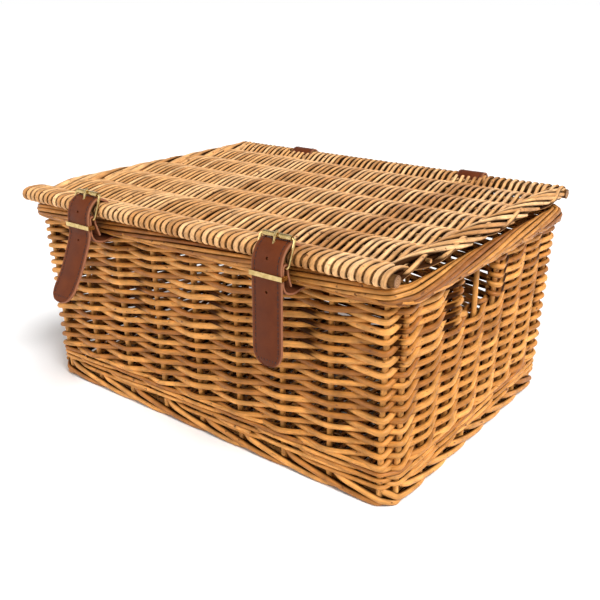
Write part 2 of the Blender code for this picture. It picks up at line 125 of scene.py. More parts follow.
def add_object(name, data):
    """A new object, linked into the scene."""
    made = bpy.data.objects.new(name, data)
    bpy.context.scene.collection.objects.link(made)
    return made


# ---- materials


def new_material(name):
    """A new material, with its nodes, its links and its shader."""
    material = bpy.data.materials.new(name)
    material.use_nodes = True
    tree = material.node_tree
    return material, tree.nodes, tree.links, tree.nodes["Principled BSDF"]


def mix_colour(nodes, links, blend, share, first, second):
    """A colour mix node; share, first and second are sockets or plain values."""
    mix = nodes.new("ShaderNodeMix")
    mix.data_type = "RGBA"
    mix.blend_type = blend
    for socket, value in ((mix.inputs[0], share), (mix.inputs[6], first), (mix.inputs[7], second)):
        if isinstance(value, bpy.types.NodeSocket):
            links.new(value, socket)
        else:
            socket.default_value = value
    return mix.outputs[2]


def ramp(nodes, links, value, stops):
    """A colour ramp over value; stops are pairs of a place and a colour."""
    node = nodes.new("ShaderNodeValToRGB")
    links.new(value, node.inputs[0])
    elements = node.color_ramp.elements
    while len(elements) < len(stops):
        elements.new(0.5)
    for element, (place, colour) in zip(elements, stops):
        element.position = place
        element.color = (*colour, 1.0) if len(colour) == 3 else colour
    return node.outputs[0]


def noise(nodes, links, vector, scale, detail=3.0, roughness=0.55, stretch=(1.0, 1.0, 1.0)):
    """Noise from 0 to 1; stretch squeezes it along the three axes."""
    mapping = nodes.new("ShaderNodeMapping")
    mapping.inputs["Scale"].default_value = stretch
    links.new(vector, mapping.inputs["Vector"])
    node = nodes.new("ShaderNodeTexNoise")
    node.inputs["Scale"].default_value = scale
    node.inputs["Detail"].default_value = detail
    node.inputs["Roughness"].default_value = roughness
    links.new(mapping.outputs[0], node.inputs["Vector"])
    return node.outputs["Fac"]


def attribute(nodes, name):
    """The outputs of a node that reads one of the meshes' own attributes."""
    node = nodes.new("ShaderNodeAttribute")
    node.attribute_name = name
    return node.outputs


def add_bump(nodes, links, shader, height, strength, distance):
    bump = nodes.new("ShaderNodeBump")
    bump.inputs["Strength"].default_value = strength
    bump.inputs["Distance"].default_value = distance
    links.new(height, bump.inputs["Height"])
    links.new(bump.outputs[0], shader.inputs["Normal"])


def grey(value):
    return (value, value, value)


def willow_material(name, pale, middle, dark):
    """Peeled willow: each rod has its own tone, with grain, mottling and a few dark specks.

    The sides of the rods that lie deep in the weave get painted shade: they are darker and hardly
    gleam.
    """
    material, nodes, links, shader = new_material(name)
    tone = attribute(nodes, "tone")["Fac"]
    place = attribute(nodes, "grain")["Vector"]
    colour = ramp(nodes, links, tone, [(0.0, dark), (0.5, middle), (1.0, pale)])
    mottle = noise(nodes, links, place, 55.0, 3.0, 0.6, (1.0, 1.6, 1.6))
    mottle = ramp(nodes, links, mottle, [(0.30, grey(0.60)), (0.68, grey(1.22))])
    colour = mix_colour(nodes, links, "MULTIPLY", 1.0, colour, mottle)
    streak = noise(nodes, links, place, 900.0, 3.0, 0.6, (0.05, 1.0, 1.0))
    streak = ramp(nodes, links, streak, [(0.30, grey(0.72)), (0.62, grey(1.12))])
    colour = mix_colour(nodes, links, "MULTIPLY", 0.8, colour, streak)
    speck = noise(nodes, links, place, 260.0, 2.0, 0.5, (0.7, 1.0, 1.0))
    speck = ramp(nodes, links, speck, [(0.66, grey(0.0)), (0.74, grey(1.0))])
    colour = mix_colour(nodes, links, "MIX", speck, colour, (0.16, 0.055, 0.014, 1.0))
    # painted shade: points that lie deep in the weave are mixed towards a near-black brown, standing
    # in for the shade there
    painted_shade = attribute(nodes, "painted_shade")["Fac"]
    painted_shade_mask = ramp(nodes, links, painted_shade, [(0.16, grey(0.0)), (0.80, grey(0.985))])
    colour = mix_colour(nodes, links, "MIX", painted_shade_mask, colour, (0.026, 0.0062, 0.0006, 1.0))
    links.new(colour, shader.inputs["Base Color"])
    roughness = ramp(nodes, links, streak, [(0.0, grey(0.62)), (1.0, grey(0.45))])
    links.new(roughness, shader.inputs["Roughness"])
    add_bump(nodes, links, shader, streak, 0.35, 0.0004)
    # the gleam is dimmed where the shade is painted, so the painted shade stays dark
    gleam = ramp(nodes, links, painted_shade_mask, [(0.0, grey(0.28)), (0.7, grey(0.03))])
    links.new(gleam, shader.inputs["Specular IOR Level"])
    return material


def end_grain_material():
    """The sawn end of a willow stick: rings round a dark pith."""
    material, nodes, links, shader = new_material("willow_end_grain")
    rings = nodes.new("ShaderNodeTexWave")
    rings.wave_type = "RINGS"
    rings.rings_direction = "X"
    rings.inputs["Scale"].default_value = 160.0
    rings.inputs["Distortion"].default_value = 3.0
    links.new(attribute(nodes, "grain")["Vector"], rings.inputs["Vector"])
    browns = [(0.0, (0.20, 0.085, 0.03)), (1.0, (0.42, 0.21, 0.085))]
    colour = ramp(nodes, links, rings.outputs["Fac"], browns)
    links.new(colour, shader.inputs["Base Color"])
    shader.inputs["Roughness"].default_value = 0.75
    return material


def leather_material(name, base, light):
    """Strap leather: fine pores, soft mottling and paler rubbed edges."""
    material, nodes, links, shader = new_material(name)
    place = nodes.new("ShaderNodeTexCoord").outputs["Object"]
    edge = attribute(nodes, "edge")["Fac"]
    mottle = noise(nodes, links, place, 70.0, 4.0, 0.6)
    colour = ramp(nodes, links, mottle, [(0.30, base), (0.75, light)])
    pores = nodes.new("ShaderNodeTexVoronoi")
    pores.inputs["Scale"].default_value = 1500.0
    links.new(place, pores.inputs["Vector"])
    shade = ramp(nodes, links, pores.outputs["Distance"], [(0.0, grey(0.80)), (0.5, grey(1.05))])
    colour = mix_colour(nodes, links, "MULTIPLY", 0.7, colour, shade)
    colour = mix_colour(nodes, links, "MIX", edge, colour, (0.33, 0.135, 0.070, 1.0))
    links.new(colour, shader.inputs["Base Color"])
    roughness = ramp(nodes, links, mottle, [(0.2, grey(0.44)), (0.8, grey(0.60))])
    links.new(roughness, shader.inputs["Roughness"])
    add_bump(nodes, links, shader, pores.outputs["Distance"], 0.25, 0.0002)
    shader.inputs["Specular IOR Level"].default_value = 0.13
    return material


def thread_material():
    """Waxed brown thread."""
    material, nodes, links, shader = new_material("stitching_thread")
    place = nodes.new("ShaderNodeTexCoord").outputs["Object"]
    fibres = noise(nodes, links, place, 2500.0)
    colour = ramp(nodes, links, fibres, [(0.3, (0.012, 0.003, 0.002)), (0.7, (0.030, 0.009, 0.005))])
    links.new(colour, shader.inputs["Base Color"])
    shader.inputs["Roughness"].default_value = 0.7
    return material


def brass_material():
    """Brass-plated wire and strip with faint smears and fine scratches."""
    material, nodes, links, shader = new_material("polished_brass")
    place = nodes.new("ShaderNodeTexCoord").outputs["Object"]
    smear = noise(nodes, links, place, 180.0, 4.0, 0.6)
    colour = ramp(nodes, links, smear, [(0.3, (0.46, 0.31, 0.11)), (0.7, (0.72, 0.54, 0.25))])
    links.new(colour, shader.inputs["Base Color"])
    scratch = noise(nodes, links, place, 2200.0, 2.0, 0.5, (0.15, 1.0, 1.0))
    roughness = ramp(nodes, links, scratch, [(0.3, grey(0.16)), (0.7, grey(0.30))])
    links.new(roughness, shader.inputs["Roughness"])
    shader.inputs["Metallic"].default_value = 1.0
    return material


# ---- rods


def lengths_along(path):
    """Distance along the path from its start to each of its points."""
    steps = np.linalg.norm(np.diff(path, axis=0), axis=1)
    return np.concatenate([[0.0], np.cumsum(steps)])


def resample(path, step):
    """The same path with its points evenly spaced."""
    along = lengths_along(path)
    count = max(2, int(math.ceil(along[-1] / step)) + 1)
    places = np.linspace(0.0, along[-1], count)
    return np.stack([np.interp(places, along, path[:, axis]) for axis in range(3)], 1)


def soften(path, rounds=1):
    """Rounds the kinks of a path, keeping its ends."""
    for _ in range(rounds):
        middle = (path[:-2] + 2 * path[1:-1] + path[2:]) / 4
        path = np.concatenate([path[:1], middle, path[-1:]])
    return path


def ease_between(value, low, high):
    """0 below low, 1 above high and a smooth step between them."""
    share = np.clip((value - low) / (high - low), 0, 1)
    return share * share * (3 - 2 * share)


MOST_UV_ROWS = 120
UV_GAP = 0.003  # between two strips in a row, as a share of its width
UV_MARGIN = 0.06  # above and below a strip, as a share of its row


class Bundle:
    """Willow rods collected into one mesh, each a tube with its own tone and grain."""

    def __init__(self, name):
        self.name = name
        self.points, self.faces, self.tones, self.grains = [], [], [], []
        self.painted_shades = []  # painted shade at each point, from 0 to 1, by how deep in the weave it lies
        self.strips = []  # rings, corners, lengths and mean radius of each rod
        self.count = 0

    def rod(self, path, radius, tone, across=(0.0, 0.0, 1.0), flatten=None, sides=SIDES,
            middle=None, level=None, facing=None, shade=0.0):
        """Adds a rod along path. across is a direction that the path never follows.

        flatten makes the section wider in that direction and thinner in the other. The rest says
        which sides lie deep in the weave, to get painted shade: middle is the path's distance from
        the middle of a wall, level is the height of the middle of a flat panel, facing is the angle
        round the section at which the outside lies, and shade paints the whole rod dark as shade.
        """
        number = len(path)
        radius = np.broadcast_to(radius, (number,))
        tangent = np.gradient(path, axis=0)
        tangent /= np.linalg.norm(tangent, axis=1)[:, None] + 1e-12
        out = np.cross(tangent, across)
        out /= np.linalg.norm(out, axis=1)[:, None] + 1e-12
        up = np.cross(out, tangent)
        angles = np.arange(sides) * 2 * math.pi / sides
        wide = np.ones(number) if flatten is None else flatten
        ring = (
            np.cos(angles)[None, :, None] * out[:, None, :] * (radius / wide)[:, None, None]
            + np.sin(angles)[None, :, None] * up[:, None, :] * (radius * wide)[:, None, None]
        )
        tube = (path[:, None, :] + ring).reshape(-1, 3)
        along = lengths_along(path)
        start = self.count
        turned = np.tile(angles, number)
        radii = np.repeat(radius, sides)
        grain_start = 0.37 * (len(self.strips) + 1)  # each rod has its own grain
        grain = [np.repeat(along, sides) + grain_start, np.cos(turned) * radii]
        grain = np.stack(grain + [np.sin(turned) * radii], 1)
        caps = np.stack([path[0], path[-1]])
        cap_grain = np.stack([grain[0] * (1, 0, 0), grain[-1] * (1, 0, 0)])
        # painted shade: how dark each point is painted, by which side of the rod faces into the
        # weave
        depth = np.full(len(tube), float(shade))
        if middle is not None:
            reach = np.repeat(middle, sides) + np.cos(turned) * radii
            depth = 1 - ease_between(reach * np.tanh(3 * np.cos(turned)), -0.0030, 0.0016)
        if level is not None:
            upward = (tube - np.repeat(path, sides, 0))[:, 2] / radii
            depth = 1 - ease_between((tube[:, 2] - level) * np.tanh(3 * upward), -0.0026, 0.0014)
            flank = ease_between(np.abs(np.sin(turned)), 0.55, 1.0)
            depth = np.maximum(depth, 0.80 * flank)
        if facing is not None:
            outwards = np.repeat(np.broadcast_to(facing, (number,)), sides)
            depth = 1 - ease_between(np.cos(turned - outwards), -0.10, 0.95)
        self.painted_shades += [depth, np.zeros(2)]
        self.points += [tube, caps]
        self.grains += [grain, cap_grain]
        self.tones.append(np.full(len(tube) + 2, tone))
        row = np.arange(number - 1)[:, None] * sides
        column = np.arange(sides)[None, :]
        following = (column + 1) % sides
        quads = [row + sides + column, row + sides + following, row + following, row + column]
        self.faces += (np.stack(quads, 2).reshape(-1, 4) + start).tolist()
        first, last = start + len(tube), start + len(tube) + 1
        end = start + (number - 1) * sides
        for side in range(sides):
            other = (side + 1) % sides
            self.faces.append([first, start + other, start + side])
            self.faces.append([last, end + side, end + other])
        self.strips.append((number, sides, along, float(radius.mean())))
        self.count += len(tube) + 2

    def build(self, materials, body, replaced, slot):
        """Makes the piece, which rides on body and stands in for the replaced nodes."""
        mesh = bpy.data.meshes.new(self.name)
        mesh.from_pydata(np.concatenate(self.points).tolist(), [], self.faces)
        tone = mesh.attributes.new("tone", "FLOAT", "POINT")
        tone.data.foreach_set("value", np.concatenate(self.tones).astype(np.float32))
        # the painted shade of every point, read by the willow material
        painted_shade = mesh.attributes.new("painted_shade", "FLOAT", "POINT")
        painted_shade.data.foreach_set("value", np.concatenate(self.painted_shades).astype(np.float32))
        grain = mesh.attributes.new("grain", "FLOAT_VECTOR", "POINT")
        grain.data.foreach_set("vector", np.concatenate(self.grains).astype(np.float32).ravel())
        for material in materials:
            mesh.materials.append(material)
        mesh.shade_smooth()
        self.lay_out(mesh)
        piece = add_object(self.name, mesh)
        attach(piece, body)
        if replaced:
            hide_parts(*replaced)
        return piece

    @staticmethod
    def pack(lengths, width):
        """Row number and left end of every strip."""
        placed, row, used = [], 0, 0.0
        for length in lengths:
            if used + length > width:
                row, used = row + 1, 0.0
            placed.append((row, used / width))
            used += length + width * UV_GAP
        return placed

    def lay_out(self, mesh):
        """Unrolls every rod into its own strip of the texture, row after row."""
        layer = mesh.uv_layers.new(name="OFBake")
        lengths = [along[-1] for _, _, along, _ in self.strips]
        girth = 2.3 * math.pi * max(radius for _, _, _, radius in self.strips)  # and a little room
        best = None
        for wanted in range(1, MOST_UV_ROWS + 1):
            width = max(sum(lengths) / wanted * 1.05, max(lengths) * 1.01)
            placed = self.pack(lengths, width)
            rows = placed[-1][0] + 1
            side = max(width, rows * girth)
            if best is None or side < best[0]:
                best = (side, width, rows, placed)
        _, width, rows, placed = best
        shares = []
        height = 1.0 / rows
        full = (1 - 2 * UV_MARGIN) * height
        for (number, sides, along, _), (row, left) in zip(self.strips, placed):
            across = (left + along / width).clip(0, 1)
            low = (row + UV_MARGIN) * height
            up = np.linspace(0, full, sides + 1)
            u0, u1 = across[:-1, None], across[1:, None]
            v0, v1 = low + up[None, :-1], low + up[None, 1:]
            quad = np.empty((number - 1, sides, 4, 2))
            quad[..., 0] = np.stack([u1, u1, u0, u0], -1)
            quad[..., 1] = np.stack([v0, v1, v1, v0], -1)
            shares.append(quad.reshape(-1, 2))
            caps = np.empty((sides, 2, 3, 2))
            caps[:, 0, :, 0] = across[0]
            caps[:, 1, :, 0] = across[-1]
            caps[:, 0, 0, 0] = across[0] + (across[1] - across[0]) * 0.5
            caps[:, 1, 0, 0] = across[-1] - (across[-1] - across[-2]) * 0.5
            caps[..., 0, 1] = low + full / 2
            caps[:, 0, 1, 1], caps[:, 0, 2, 1] = low + up[1:], low + up[:-1]
            caps[:, 1, 1, 1], caps[:, 1, 2, 1] = low + up[:-1], low + up[1:]
            shares.append(caps.reshape(-1, 2))
        layer.data.foreach_set("uv", np.concatenate(shares).astype(np.float32).ravel())


# ---- the basket's outline


def stake_ring():
    """Places and outward directions of the stakes, once round from the front left corner."""
    places, outward = [], []
    lean_a, lean_b = math.radians(30), math.radians(60)
    front = [(-CORNER_X, -MIDDLE_Y)]
    front += [(x * STAKE_PITCH_X, -MIDDLE_Y) for x in range(-3, 4)]
    front += [(CORNER_X, -MIDDLE_Y)]
    right = [(MIDDLE_X, -CORNER_Y)]
    right += [(MIDDLE_X, (y + 0.5) * STAKE_PITCH_Y) for y in range(-3, 3)]
    right += [(MIDDLE_X, CORNER_Y)]
    half = front + right
    out = [(-math.sin(lean_a), -math.cos(lean_a))] + [(0.0, -1.0)] * 7
    out += [(math.sin(lean_a), -math.cos(lean_a)), (math.sin(lean_b), -math.cos(lean_b))]
    out += [(1.0, 0.0)] * 6 + [(math.sin(lean_b), math.cos(lean_b))]
    for sign in (1, -1):
        places += [(sign * x, sign * y) for x, y in half]
        outward += [(sign * x, sign * y) for x, y in out]
    return np.array(places), np.array(outward)


STAKES, OUTWARD = stake_ring()
AROUND = len(STAKES)  # stakes round the basket
RIGHT_HOLE = (11.0, 13.0)  # the hand hole lies between these stakes
LEFT_HOLE = (11.0 + AROUND // 2, 13.0 + AROUND // 2)


def round_basket(turn, out, height):
    """Points beside the wall's middle line. turn counts stakes, out is the distance outwards."""
    turn, out, height = np.broadcast_arrays(turn, out, height)
    low = np.floor(turn).astype(int) % AROUND
    share = (turn - np.floor(turn))[:, None]
    high = (low + 1) % AROUND
    place = STAKES[low] * (1 - share) + STAKES[high] * share
    normal = OUTWARD[low] * (1 - share) + OUTWARD[high] * share
    normal /= np.linalg.norm(normal, axis=1)[:, None]
    place = place + normal * out[:, None]
    rise = height / TOP
    scale_x = FOOT_SCALE[0] + (1 - FOOT_SCALE[0]) * rise
    scale_y = FOOT_SCALE[1] + (1 - FOOT_SCALE[1]) * rise
    return np.stack([place[:, 0] * scale_x, place[:, 1] * scale_y, height], 1)


def turns_between(start, end, per_stake=12):
    """Evenly spaced turns, per_stake of them between two stakes."""
    return np.linspace(start, end, max(3, int((end - start) * per_stake) + 1))


def row_height(row):
    """Height of a row of weaving: thick butts at the bottom, thin tips at the top."""
    rise = WEAVE_TOP - WEAVE_BOTTOM
    share = np.asarray(row, float) / ROWS
    return WEAVE_BOTTOM + rise * share * (1.18 - 0.18 * share)


# ---- the body's weave


def weave_radius(row):
    """Radius of a weaver, which gets thinner on its way up."""
    return 0.0029 - 0.0004 * np.clip(np.asarray(row, float) / ROWS, 0, 1)


def strand_sway(row):
    """Distance of a weaver from the wall's middle: nearly straight between bends at stakes."""
    sharpness = 0.975  # 1 would be straight all the way, with a kink at each stake
    bend = np.arcsin(sharpness * np.cos(math.pi * row)) / math.asin(sharpness)
    return (STAKE_RADIUS + weave_radius(row) - 0.0001) * bend


def strand_points(first_stake, turn, wobble):
    """One weaver: in front of one stake and behind the next, one row higher each time."""
    row = turn - first_stake
    sway = strand_sway(row)
    height = row_height(row) + wobble + INNER_LIFT * (1 - sway / strand_sway(0.0)) / 2
    return round_basket(turn, sway, height)


def cut_at_holes(first_stake, turn):
    """Splits a weaver's turns where it would cross a hand hole."""
    height = row_height(turn - first_stake)
    around = turn % AROUND
    blocked = np.zeros(len(turn), bool)
    for low, high in (RIGHT_HOLE, LEFT_HOLE):
        blocked |= (around > low) & (around < high) & (height > HOLE_BOTTOM)
    ends = np.flatnonzero(np.diff(np.concatenate([[True], blocked, [True]])))
    return [(a, b) for a, b in zip(ends[::2], ends[1::2]) if b - a > 4]


def turn_back(path, first_stake, turn, at_end):
    """Loops a weaver round the stake beside the hand hole, from the outside to the inside."""
    index = -1 if at_end else 0
    stake = round(turn[index])
    row = stake - first_stake
    if abs(turn[index] - stake) > 0.2:
        return path
    outside = row % 2 == 0
    side = 1 if at_end else -1
    reach = STAKE_RADIUS + float(weave_radius(row))
    angles = np.linspace(90, -100, 9) if outside else np.array([-90.0, -75.0])
    loop = []
    for number, angle in enumerate(np.radians(angles)):
        shift = side * math.cos(angle) * reach / STAKE_PITCH_Y
        height = row_height(row) + 0.0022 * number / 8
        loop.append(round_basket([stake + shift], [math.sin(angle) * reach], [height])[0])
    loop = np.array(loop)
    if at_end:
        keep = turn < stake - 0.05
        return np.concatenate([path[keep], loop])
    keep = turn > stake + 0.05
    return np.concatenate([loop[::-1], path[keep]])


def weave_walls(willow, random):
    """The weavers start at one stake each and climb round the basket side by side."""
    bundles = [Bundle("wall_weave_%d" % (number + 1)) for number in range(4)]
    for first in range(AROUND):
        bundle = bundles[first % 4]
        turn = turns_between(first - 0.95, first + ROWS + 0.4)
        slow = 0.00045 * np.sin(turn * random.uniform(0.5, 0.9) + random.uniform(0, 6))
        fine = 0.00025 * np.sin(turn * random.uniform(2, 4) + random.uniform(0, 6))
        thick = random.uniform(0.86, 1.12)
        tone = random.uniform(0.1, 0.95)
        for start, end in cut_at_holes(first, turn):
            part = turn[start:end]
            path = strand_points(first, part, (slow + fine)[start:end])
            radius = weave_radius(part - first) * thick
            if start > 0:
                path = turn_back(path, first, part, False)
            if end < len(turn):
                path = turn_back(path, first, part, True)
            if len(path) != len(part):
                radius = float(weave_radius(part.mean() - first) * thick)
            shares, part_shares = np.linspace(0, 1, len(path)), np.linspace(0, 1, len(part))
            middle = np.interp(shares, part_shares, strand_sway(part - first))
            bundle.rod(soften(path), radius, tone, middle=middle)
    names = ["front_wall", "right_wall", "back_wall", "left_wall"]
    for bundle, name in zip(bundles, names):
        bundle.build([willow], "basket", [name], "willow_weave")


def stand_stakes(willow, random):
    """The uprights, from the foot into the rim, a little bent and thinner at the top."""
    bundle = Bundle("upright_stakes")
    heights = np.linspace(0.006, 0.190, 24)
    radius = np.linspace(STAKE_RADIUS * 1.06, STAKE_RADIUS * 0.94, 24)
    for number in range(AROUND):
        wander = 0.0006 * np.sin(heights * 60 + random.uniform(0, 6))
        path = round_basket(number + wander / 0.05, wander * 0.5, heights)
        bundle.rod(path, radius, random.uniform(0.35, 0.9), across=(1, 0, 0))
    corners = [f + "_" + s + "_corner_stake_" + k for f in ("front", "back")
               for s in ("left", "right") for k in ("a", "b")]
    holes = ["left_hand_hole_stake", "right_hand_hole_stake"]
    bundle.build([willow], "basket", corners + holes, "willow_rod")


def weave_wale(willow, random):
    """The band of thin rods over the foot: before two stakes, behind the third."""
    bundle = Bundle("foot_wale")
    reach = STAKE_RADIUS + WALE_RADIUS
    for strand in range(WALE_ROWS):
        turn = turns_between(strand * 5.3, strand * 5.3 + AROUND, 10)
        phase = ((turn + strand) % 3) / 3
        behind = np.exp(-(((phase + 0.5) % 1 - 0.5) / 0.13) ** 2)
        out = reach * (1 - 2 * behind)
        height = WALE_BOTTOM + WALE_PITCH * strand + 0.0026 * (phase - 0.5) * (1 - behind)
        height = height + 0.0003 * np.sin(turn * 1.7 + strand)
        path = soften(round_basket(turn, out, height))
        bundle.rod(path, WALE_RADIUS, random.uniform(0.1, 0.9), middle=out)
    bundle.build([willow], "basket", (), "willow_weave")


def lay_foot(willow, random):
    """Thick rods laid from under the wale down to the ground, each over the one before."""
    bundle = Bundle("foot_border")
    for first in range(AROUND):
        turn = turns_between(first + 0.02, first + 2.35, 14)
        share = (turn - turn[0]) / (turn[-1] - turn[0])
        height = 0.0170 - 0.0142 * np.sin(np.clip(share * 1.25, 0, 1) * math.pi / 2) ** 1.2
        out = -0.0035 + 0.0078 * np.clip(share / 0.12, 0, 1) ** 0.7
        out = out - 0.0050 * np.clip((share - 0.82) / 0.18, 0, 1)
        radius = 0.0033 - 0.0006 * share
        path = soften(round_basket(turn, out, np.maximum(height, radius + 0.0001)), 2)
        bundle.rod(path, radius, random.uniform(0.15, 0.9), facing=0.15)
        inner = turns_between(first, first + 1.6, 10)
        low = np.linspace(0.0125, 0.0035, len(inner))
        bundle.rod(round_basket(inner, -0.0045, low), 0.0028, random.uniform(0.2, 0.8))
    names = ["foot_front", "foot_back", "foot_left", "foot_right"]
    bundle.build([willow], "basket", names, "willow_rod")


def lay_rim(willow, random):
    """The top border: rods leave the wall, climb round the outside and turn in over the top."""
    bundles = [Bundle("rim_border_%d" % (number + 1)) for number in range(2)]
    for first in range(AROUND):
        bundle = bundles[first % 2]
        turn = turns_between(first - 0.40, first + RIM_REACH, 9)
        step = turn - first
        angle = np.radians(-64 + 34 * step + random.uniform(-4, 4) + 3 * np.sin(turn * 1.7 + first))
        start = ease_between(step, -0.40, 0.15)
        out = (RIM_OUT + RIM_WIDE * np.cos(angle)) * start - 0.0040 * (1 - start)
        height = RIM_Z + RIM_TALL * np.sin(angle) - 0.0030 * (1 - start)
        radius = (0.0026 - 0.0009 * np.clip(step / RIM_REACH, 0, 1)) * random.uniform(0.86, 1.08)
        path = soften(round_basket(turn, out, height), 2)
        bundle.rod(path, radius, random.uniform(0.0, 0.65), facing=angle)
        # a thinner rod that runs up to the rim along the outside
        tip = turns_between(first - 1.5, first + 0.10, 9)
        along = (tip - tip[0]) / (tip[-1] - tip[0])
        path = round_basket(tip, 0.0112 - 0.0125 * along**3, 0.1888 - 0.0070 * along)
        bundle.rod(soften(path, 2), 0.0021 - 0.0009 * along, random.uniform(0.05, 0.65))
    # the rim's middle rod, painted fully dark as shade, and three rods twisted along its inside
    core = turns_between(0, AROUND, 6)
    bundles[0].rod(soften(round_basket(core, 0.0045, 0.1910), 2), 0.0044, 0.1, shade=1.0)
    for number in range(3):
        twist = 2 * math.pi * (core / 4 + number / 3)
        out = -0.0010 + 0.0016 * np.cos(twist)
        height = 0.1915 + 0.0040 * np.sin(twist)
        path = soften(round_basket(core, out, height), 2)
        bundles[0].rod(path, 0.0022, random.uniform(0.05, 0.6), facing=math.pi)
    bundles[0].build([willow], "basket", ["rim_front", "rim_back"], "willow_rod")
    bundles[1].build([willow], "basket", ["rim_left", "rim_right"], "willow_rod")


# ---- flat panels


def straight_rod(half_length, y, z, count):
    """The path of a stick that lies along the hamper."""
    xs = np.linspace(-half_length, half_length, count)
    return np.stack([xs, np.full(count, y), np.full(count, z)], 1)


def weave_base(willow, random):
    """Seven sticks along the hamper, with weavers over and under them from front to back."""
    bundle = Bundle("base_weave")
    for number in range(-3, 4):
        path = straight_rod(0.207, number * BASE_PITCH, 0.0085, 40)
        bundle.rod(path, 0.0026, random.uniform(0.3, 0.8))
    ys = np.linspace(-0.146, 0.146, 74)
    for number, x in enumerate(np.linspace(-0.203, 0.203, 70)):
        wave = 0.0036 * np.cos(math.pi * (ys / BASE_PITCH) + math.pi * (number % 2))
        drift = 0.0006 * np.sin(ys * 40 + number)
        path = np.stack([x + drift, ys, BASE_Z + wave], 1)
        tone = random.uniform(0.15, 0.9)
        bundle.rod(path, random.uniform(0.0022, 0.0026), tone, (1, 0, 0), level=BASE_Z)
    names = ["base_panel", "base_stick_front", "base_stick_middle", "base_stick_back"]
    bundle.build([willow], "basket", names, "willow_weave")


def lid_sway(y, sign):
    """Height of a lid weaver over or under the inner sticks."""
    return sign * LID_WAVE * np.cos(math.pi * y / LID_PITCH)


def weave_lid(willow, end_grain, random):
    """The lid's weavers from its left end to its right, its five inner sticks and the thick ones."""
    bundles = [Bundle("lid_weave_%d" % (number + 1)) for number in range(4)]
    first_x = -LID_HALF_LENGTH + 0.004
    count = int(-2 * first_x / LID_ROW_PITCH) + 1
    for number in range(count):
        x = first_x + LID_ROW_PITCH * number
        bundle = bundles[number * 4 // count]
        add_lid_pair(bundle, x, random)
    nodes = ["lid_panel", "lid_inner_stick_1", "lid_inner_stick_2", "lid_inner_stick_3"]
    for bundle, node in zip(bundles, nodes):
        bundle.build([willow], "lid", [node], "lid_willow")
    bundle = Bundle("lid_sticks")
    for number in range(5):
        path = straight_rod(0.219, (number - 2) * LID_PITCH, LID_STICK_Z, 60)
        path[:, 2] += 0.0005 * np.sin(path[:, 0] * 30)
        bundle.rod(path, 0.0020, random.uniform(0.1, 0.5))
    for y in (-LID_STICK_Y, LID_STICK_Y):
        path = straight_rod(LID_HALF_LENGTH + 0.001, y, LID_STICK_Z, 60)
        # painted shade: the thick sticks are darkened to read as shade in the gaps between the
        # windings
        bundle.rod(path, 0.0048, 0.35, sides=16, shade=0.6)
    nodes = ["lid_inner_stick_4", "lid_inner_stick_5", "lid_front_stick", "lid_back_stick"]
    piece = bundle.build([willow, end_grain], "lid", nodes, "lid_willow")
    for face in piece.data.polygons:  # the ends of the two thick sticks
        if len(face.vertices) == 3 and abs(face.center.y) > 0.15:
            face.material_index = 1


def under_hinge(x):
    """Whether a weaver at x would meet a hinge leather."""
    return any(abs(x - side * STRAP_X) < 0.0178 for side in (-1, 1))


def stick_turn(x, y, start, end):
    """Half a turn of a weaver round the front or back stick, a little along it as well."""
    angles = np.radians(np.linspace(start, end, 13))
    along = x + np.linspace(-0.25, 0.25, 13) * LID_ROW_PITCH
    height = LID_STICK_Z + np.sin(angles) * LID_WRAP
    return np.stack([along, y + np.cos(angles) * LID_WRAP, height], 1)


def add_lid_pair(bundle, x, random):
    """A weaver that comes forward underneath, turns round the front stick and goes back."""
    tone = random.uniform(0.15, 1.0)
    lean_x = random.uniform(-0.0008, 0.0008)
    rod_radius = random.uniform(0.0019, 0.0023)
    edge = LID_STICK_Y - 0.003
    inner = np.linspace(-edge, edge, 171)
    ease = ease_between(inner, -edge, 0.028 - edge) * ease_between(-inner, -edge, 0.028 - edge)
    halves = []
    for sign in (1.0, -1.0):
        drift = lean_x * np.sin(inner * 12 + x * 50 + sign)
        drift = drift + random.uniform(-0.0005, 0.0005) * np.sin(inner * 45 + sign)
        drift = drift - sign * ease * LID_LEAN * np.sin(math.pi * inner / LID_PITCH)
        z = LID_STICK_Z + ease * lid_sway(inner, sign) - (1 - ease) * sign * LID_WRAP
        shift = -sign * 0.25 * LID_ROW_PITCH
        halves.append(np.stack([x + shift + drift, inner, z], 1))
    low, high = halves
    front_turn = stick_turn(x, -LID_STICK_Y, -90, -270)
    if under_hinge(x):  # the weaver stops short, and thin windings go on under the leather
        rise = ease_between(inner, 0.1300, 0.1555)
        low[:, 2] += (LID_STICK_Z + 0.0015 - low[:, 2]) * rise
        path = np.concatenate([low[inner < 0.1555][::-1], front_turn, high[inner < 0.1568]])
        turns = [stick_turn(x - LID_ROW_PITCH / 4, LID_STICK_Y, -90, 90)]
        turns.append(stick_turn(x + LID_ROW_PITCH / 4, LID_STICK_Y, 90, 270)[1:])
        bundle.rod(np.concatenate(turns), rod_radius * 0.8, tone, (1, 0, 0), np.full(25, 1.7))
    else:
        path = np.concatenate([low[::-1], front_turn, high])
        back_turn = stick_turn(x, LID_STICK_Y, -90, 90)
        bundle.rod(back_turn, rod_radius, tone, (1, 0, 0), np.full(13, 1.45), level=LID_STICK_Z)
    path = soften(resample(path, 0.0036))
    wide = 1 + 0.50 * np.exp(-(((path[:, 1] + LID_STICK_Y) / 0.009) ** 2))
    bundle.rod(path, rod_radius, tone, (1, 0, 0), wide, level=LID_STICK_Z)


